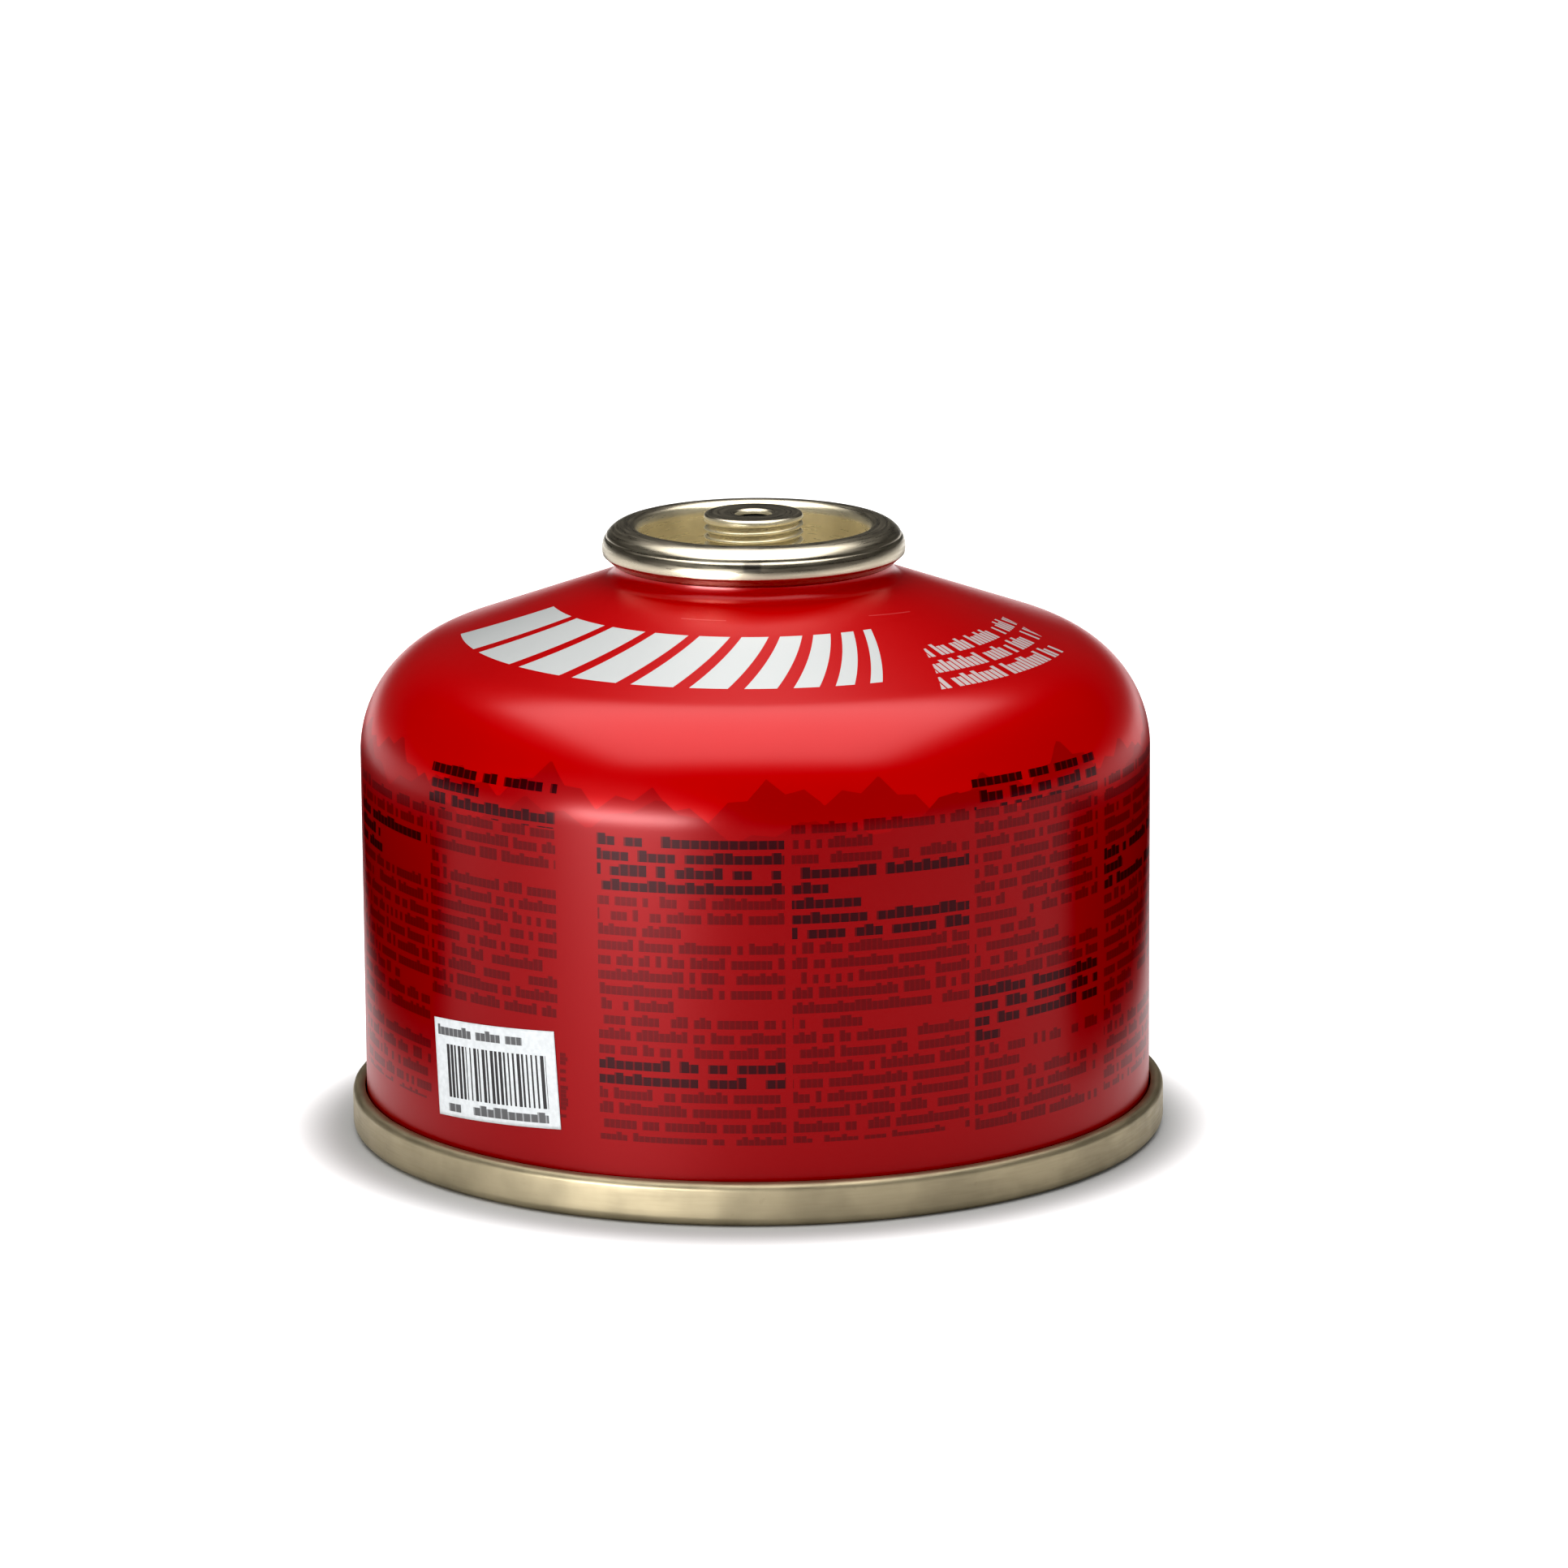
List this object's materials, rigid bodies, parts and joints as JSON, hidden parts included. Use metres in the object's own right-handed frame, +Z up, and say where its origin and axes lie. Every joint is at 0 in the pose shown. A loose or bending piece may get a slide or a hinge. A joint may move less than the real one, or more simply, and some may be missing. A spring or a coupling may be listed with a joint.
{
  "type": "fuel canister",
  "caption": "Low screw-on gas canister: red drawn steel can, gold double-seamed base end, gold valve cup with threaded stud and sprung valve.",
  "frame": {"origin": "centre of the plane that the base seam stands on", "axes": "+Z up along the can's axis, out through the threaded stud; -Y towards the side that the picture shows"},
  "size_m": [0.09, 0.09, 0.0684],
  "materials": {
    "red_lacquer": "glossy red lacquer with print over tinplate",
    "gold_base": "gold-lacquered tinplate, satin gloss",
    "gold_cup": "gold-lacquered tinplate, bright",
    "black_rubber": "matt",
    "white_plastic": "moulded, natural",
    "spring_steel": "drawn wire"
  },
  "bodies": {
    "can": {"canister_body": "red_lacquer", "base_end": "gold_base", "valve_cup": "gold_cup", "cup_gasket": "black_rubber", "stem_gasket": "black_rubber", "valve_housing": "white_plastic", "valve_spring": "spring_steel"},
    "stem": {"valve_stem": "white_plastic"}
  },
  "joints": [
    {"name": "valve_stem_press", "type": "slide", "parent": "can", "child": "stem", "axis": [0, 0, -1], "range_m": [0, 0.0015], "stiffness_N_per_m": 2500, "springref_m": -0.002, "deforming": ["valve_spring"]}
  ]
}
